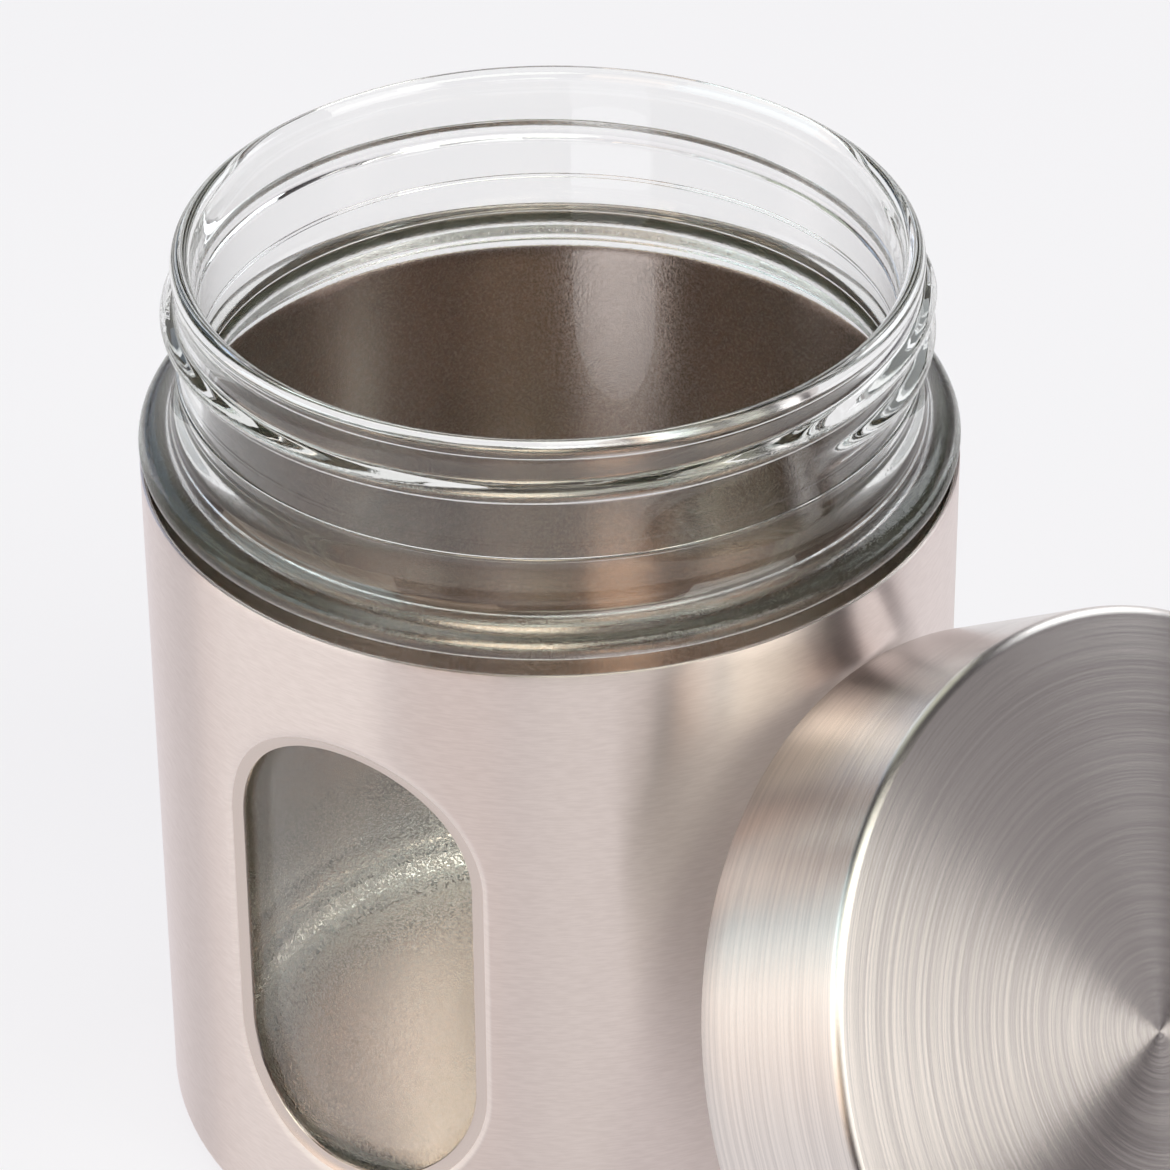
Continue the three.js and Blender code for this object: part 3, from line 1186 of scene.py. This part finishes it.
        bench.swell(self.thread_height, thread_share)
        bench.place(self.seat)
        bench.smooth(self.crease)
        plastic = MouldedSkin(
            name="Cap plastic",
            tone=(0.78, 0.77, 0.735),
            cloud=(0.82, 0.81, 0.78),
            roughness=0.42,
            grain_size=0.35 * MM,
            grain_height=0.006 * MM,
        )
        return bench.hand_over(plastic, body="lid", node="lid_inner_cap", slot="cap_plastic")

    def build_seal(self) -> bpy.types.Object:
        """Turn the seal ring with rounded edges and dress it.

        Returns:
            The finished ring.
        """
        top = self.cap_top - self.cap_disc - self.gap
        ring = rounded_ring((self.seal_inside, self.cap_bore - self.gap), (top - self.seal_thickness, top),
                            self.seal_edge, self.edge_steps)
        bench = Bench.turned("lid_seal_fine", ring, [(360, self.seal_steps)])
        bench.place(self.seat)
        bench.smooth(self.seal_crease)
        silicone = MouldedSkin(
            name="Seal silicone",
            tone=(0.84, 0.83, 0.79),
            cloud=(0.88, 0.87, 0.84),
            roughness=0.55,
            grain_size=0.5 * MM,
            grain_height=0.01 * MM,
        )
        return bench.hand_over(silicone, body="seal", node="lid_seal", slot="seal")


@dataclass(frozen=True)
class SoftLamp:
    """A soft lamp as the object sees it: its middle and its size in degrees, its glow and its tint."""

    bearing: float
    rise: float
    breadth: float
    height: float
    glow: float
    tint: Colour


class Panel(Enum):
    """The studio's soft lamps, named for where they stand."""

    LEFT = SoftLamp(bearing=240, rise=32, breadth=51, height=25, glow=2.51, tint=(0.77, 0.97, 1.0))
    LEFT_LOW = SoftLamp(bearing=240, rise=10, breadth=59, height=20, glow=1.7, tint=(1.0, 0.87, 0.74))
    FRONT_LEFT = SoftLamp(bearing=285, rise=32, breadth=25, height=25, glow=1.6, tint=(1.0, 0.79, 0.59))
    FRONT_TOP = SoftLamp(bearing=338, rise=57, breadth=41, height=25, glow=4.18, tint=(0.95, 1.0, 0.87))
    RIGHT = SoftLamp(bearing=8, rise=26, breadth=32, height=32, glow=2.6, tint=(1.0, 1.0, 0.95))
    BACK_RIGHT = SoftLamp(bearing=78, rise=32, breadth=31, height=25, glow=3.12, tint=(0.91, 0.97, 1.0))
    BACK = SoftLamp(bearing=147, rise=57, breadth=30, height=25, glow=1.2, tint=(0.92, 1.0, 0.82))
    BACK_LEFT = SoftLamp(bearing=165, rise=32, breadth=25, height=25, glow=1.0, tint=(0.55, 0.73, 1.0))


@dataclass(frozen=True)
class Studio:
    """The floor, the light and the camera at the photograph's viewing angle."""

    floor_radius: float = 4.0
    floor_points: int = 96
    floor_tone: Colour = (0.95, 0.935, 0.96)
    glow: float = 0.8
    horizon: Colour = (0.07, 0.06, 0.07)
    zenith: Colour = (0.05, 0.045, 0.05)
    sky_range: Point = (0.0, 0.8)
    backdrop_bearing: float = 145
    backdrop_spread: Point = (60, 40)
    backdrop_rise: Point = (30, 15)
    lamp_distance: float = 1.3
    lens: float = 169.45
    sensor: float = 36.0
    bearing: float = 43.26
    stand_off: float = 613.07 * MM
    eye_height: float = 492.17 * MM
    yaw: float = 0.419
    pitch: float = 33.917
    roll: float = -0.441
    clip_start: float = 10 * MM
    bounces: int = 96
    glossy_bounces: int = 48

    def floor(self) -> None:
        """Lay a plain pale floor that takes shadows and reads as white in metal and glass too."""
        bench = Bench.start("floor", bpy.ops.mesh.primitive_circle_add, vertices=self.floor_points,
                            radius=self.floor_radius, fill_type="NGON", location=(0, 0, 0))
        material = bpy.data.materials.new("Studio floor")
        material.use_nodes = True
        sheet = Sheet(material.node_tree)
        rays = sheet.node("ShaderNodeLightPath", {}, {})
        seen = rays["Is Camera Ray"].largest(rays["Is Glossy Ray"]).largest(rays["Is Transmission Ray"])
        matt = sheet.node("ShaderNodeBsdfDiffuse", {}, {"Color": opaque(self.floor_tone)})["BSDF"]
        white = sheet.node("ShaderNodeEmission", {}, {"Color": opaque(self.floor_tone), "Strength": 1.0})
        mixed = sheet.node("ShaderNodeMixShader", {}, {0: seen * self.glow, 1: matt, 2: white["Emission"]})
        sheet.node("ShaderNodeOutputMaterial", {}, {"Surface": mixed["Shader"]})
        bench.piece.data.materials.append(material)

    def surroundings(self) -> None:
        """Light the object faintly from all round, and show metal and glass a pale backdrop behind it."""
        world = bpy.data.worlds.new("Studio")
        bpy.context.scene.world = world
        world.use_nodes = True
        sheet = Sheet(world.node_tree)
        direction = sheet.node("ShaderNodeTexCoord", {}, {})["Generated"]
        up = sheet.node("ShaderNodeSeparateXYZ", {}, {"Vector": direction})["Z"]
        tone = sheet.blend(up.ramp(*self.sky_range), opaque(self.horizon), opaque(self.zenith))
        bearing = math.radians(self.backdrop_bearing)
        behind = sheet.measure("DOT_PRODUCT", direction, (math.cos(bearing), math.sin(bearing), 0.0))
        sides = behind.ramp(*[math.cos(math.radians(angle)) for angle in self.backdrop_spread])
        top = (0 - up).ramp(*[-math.sin(math.radians(angle)) for angle in self.backdrop_rise])
        rays = sheet.node("ShaderNodeLightPath", {}, {})
        mirrored = rays["Is Glossy Ray"].largest(rays["Is Transmission Ray"])
        pale = rays["Is Camera Ray"].largest(mirrored * sides * top)
        shown = sheet.blend(pale, tone, opaque(self.floor_tone))
        light = sheet.node("ShaderNodeBackground", {}, {"Color": shown, "Strength": 1.0})
        sheet.node("ShaderNodeOutputWorld", {}, {"Surface": light["Background"]})

    def lamps(self, target: Vector) -> None:
        """Hang the soft lamps round the object.

        Args:
            target: The point that they face.
        """
        for panel in Panel:
            soft = panel.value
            data = bpy.data.lights.new(panel.name.lower() + "_lamp", "AREA")
            data.shape = "RECTANGLE"
            data.size = 2 * self.lamp_distance * math.tan(math.radians(soft.breadth / 2))
            data.size_y = 2 * self.lamp_distance * math.tan(math.radians(soft.height / 2))
            data.energy = soft.glow * math.pi * data.size * data.size_y
            data.color = soft.tint
            lamp = bpy.data.objects.new(data.name, data)
            bpy.context.scene.collection.objects.link(lamp)
            turn, tilt = math.radians(soft.bearing), math.radians(soft.rise)
            level = math.cos(tilt)
            away = Vector((math.cos(turn) * level, math.sin(turn) * level, math.sin(tilt)))
            lamp.location = target + away * self.lamp_distance
            lamp.rotation_euler = away.to_track_quat("Z", "Y").to_euler()
            lamp.visible_camera = False

    def camera(self) -> None:
        """Set up the camera where the photograph was taken from."""
        data = bpy.data.cameras.new("camera")
        data.lens = self.lens
        data.sensor_width = self.sensor
        data.clip_start = self.clip_start
        camera = bpy.data.objects.new("camera", data)
        bpy.context.scene.collection.objects.link(camera)
        round_axis = Matrix.Rotation(math.radians(self.bearing), 4, "Z")
        aim = Matrix.Rotation(math.radians(self.bearing - self.yaw), 4, "Z")
        aim = aim @ Matrix.Rotation(math.radians(90 - self.pitch), 4, "X")
        aim = aim @ Matrix.Rotation(math.radians(self.roll), 4, "Z")
        eye = round_axis @ Vector((0, -self.stand_off, self.eye_height))
        camera.matrix_world = Matrix.Translation(eye) @ aim
        bpy.context.scene.camera = camera

    def build(self, target: Vector) -> None:
        """Set the whole studio up.

        Args:
            target: The point that the lamps face.
        """
        self.camera()
        self.floor()
        self.surroundings()
        self.lamps(target)
        scene = bpy.context.scene
        scene.view_settings.view_transform = "Standard"
        scene.cycles.max_bounces = self.bounces
        scene.cycles.transmission_bounces = self.bounces
        scene.cycles.glossy_bounces = self.glossy_bounces


def main() -> None:
    """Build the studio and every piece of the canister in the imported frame."""
    logging.basicConfig(level=logging.INFO, format="%(message)s")
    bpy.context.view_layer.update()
    sleeve_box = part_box("steel_sleeve")
    jar_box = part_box("glass_jar")
    cushion_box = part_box("base_cushion")
    Studio().build(Vector((0, 0, sleeve_box[1].z / 2)))

    turn = next(joint for joint in frame["joints"] if joint["name"] == "lid_turn")
    axis = Vector(turn["axis"]).normalized()
    centre = Vector(turn["pos_m"])
    seat = Matrix.Translation(centre) @ Matrix.Rotation(math.atan2(axis.x, axis.z), 4, "Y")

    SteelSleeve(radius=sleeve_box[1].x, height=sleeve_box[1].z).build()
    BaseCushion(bottom=cushion_box[0].z, top=cushion_box[1].z, radius=cushion_box[1].x).build()
    jar = GlassJar(
        sleeve_radius=sleeve_box[1].x,
        sleeve_height=sleeve_box[1].z,
        base=jar_box[0].z,
        rim=jar_box[1].z,
    )
    jar.build()
    lid = Lid(seat=seat, axis=tuple(axis), centre=tuple(centre))
    lid.build_shell()
    lid.build_cap()
    lid.build_seal()


if __name__ == "__main__":
    main()
